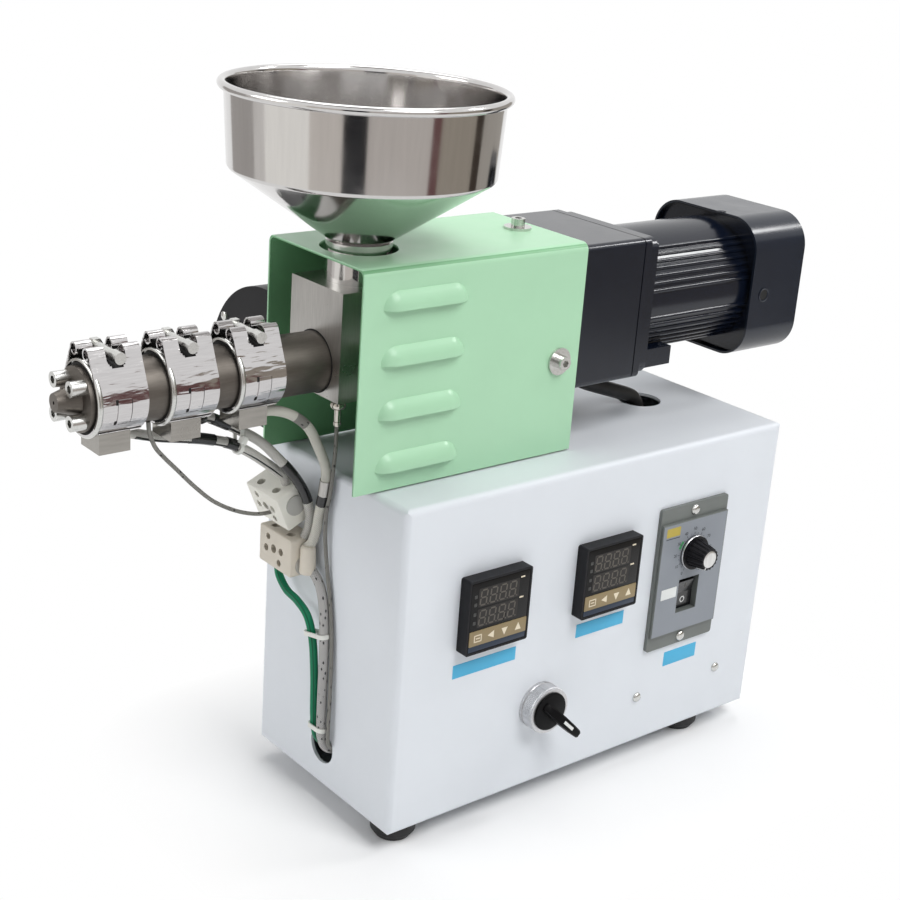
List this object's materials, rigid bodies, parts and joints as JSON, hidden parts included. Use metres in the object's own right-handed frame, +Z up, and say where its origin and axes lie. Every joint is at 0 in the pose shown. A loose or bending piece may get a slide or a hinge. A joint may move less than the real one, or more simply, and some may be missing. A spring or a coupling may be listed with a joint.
{
  "type": "filament extruder",
  "caption": "Benchtop filament extruder with a hopper, heated barrel and die, louvred cover, gear motor and a control cabinet on rubber feet.",
  "frame": {"origin": "middle of the machine's footprint, on the floor under its feet", "axes": "+X from the die towards the motor, along the cabinet's front; +Y from the control panel to the back; +Z up"},
  "size_m": [0.523, 0.2318, 0.4442],
  "materials": {
    "white_paint": "satin powder coat",
    "green_paint": "satin powder coat",
    "foot_rubber": "matt",
    "zinc": "zinc plated",
    "machined_steel": "ground",
    "polished_steel": "polished stainless",
    "dark_steel": "dark nitrided",
    "bright_sheet": "bright sheet",
    "plain_sheet": "plain sheet",
    "brass_probe": "worn",
    "ivory_ceramic": "unglazed",
    "black_plastic": "matt",
    "gloss_black": "glossy",
    "motor_paint": "semi-gloss",
    "grey_plate": "satin",
    "ring_aluminium": "brushed",
    "glass_sleeve": "braided sleeve",
    "braid": "fine braid",
    "green_wire": "insulation",
    "black_sleeve": "insulation"
  },
  "bodies": {
    "machine": {"cabinet": "white_paint", "base_plate": "white_paint", "feet": "foot_rubber", "cover": "green_paint", "cover_screws": "zinc", "gearbox_bracket": "machined_steel", "bearing_housing": "machined_steel", "feed_block": "machined_steel", "throat_tube": "polished_steel", "feed_screw": "machined_steel", "hopper": "polished_steel", "barrel": "dark_steel", "heater_band_front": "bright_sheet", "heater_band_middle": "bright_sheet", "heater_band_rear": "bright_sheet", "clamp_bolts": "zinc", "terminal_box_front": "plain_sheet", "terminal_box_middle": "plain_sheet", "terminal_box_rear": "plain_sheet", "die_head": "dark_steel", "die_screws": "zinc", "throat_probe": "brass_probe", "upper_connector": "ivory_ceramic", "lower_connector": "ivory_ceramic", "blower": "black_plastic", "gearbox": "motor_paint", "motor": "motor_paint", "motor_fan_cover": "motor_paint", "barrel_controller": "black_plastic", "feed_controller": "black_plastic", "speed_plate": "grey_plate", "rocker_frame": "black_plastic", "selector_ring": "ring_aluminium", "heater_lead_front": "glass_sleeve", "heater_lead_middle": "glass_sleeve", "heater_lead_rear": "glass_sleeve", "thermocouple_lead": "braid", "probe_lead": "braid", "green_wires": "green_wire", "grey_wires": "glass_sleeve", "motor_cable": "black_sleeve"},
    "knob": {"speed_knob": "black_plastic"},
    "rocker": {"rocker": "gloss_black"},
    "lever": {"selector_lever": "black_plastic"}
  },
  "joints": [
    {"name": "speed_knob_turn", "type": "hinge", "parent": "machine", "child": "knob", "pos_m": [0.147, -0.0974, 0.1485], "axis": [0, 1, 0], "range_deg": [0, 300]},
    {"name": "rocker_tip", "type": "hinge", "parent": "machine", "child": "rocker", "pos_m": [0.147, -0.0918, 0.118], "axis": [1, 0, 0], "range_deg": [-16, 0]},
    {"name": "selector_turn", "type": "hinge", "parent": "machine", "child": "lever", "pos_m": [0.0245, -0.1049, 0.07], "axis": [0, 1, 0], "range_deg": [-90, 0]}
  ]
}
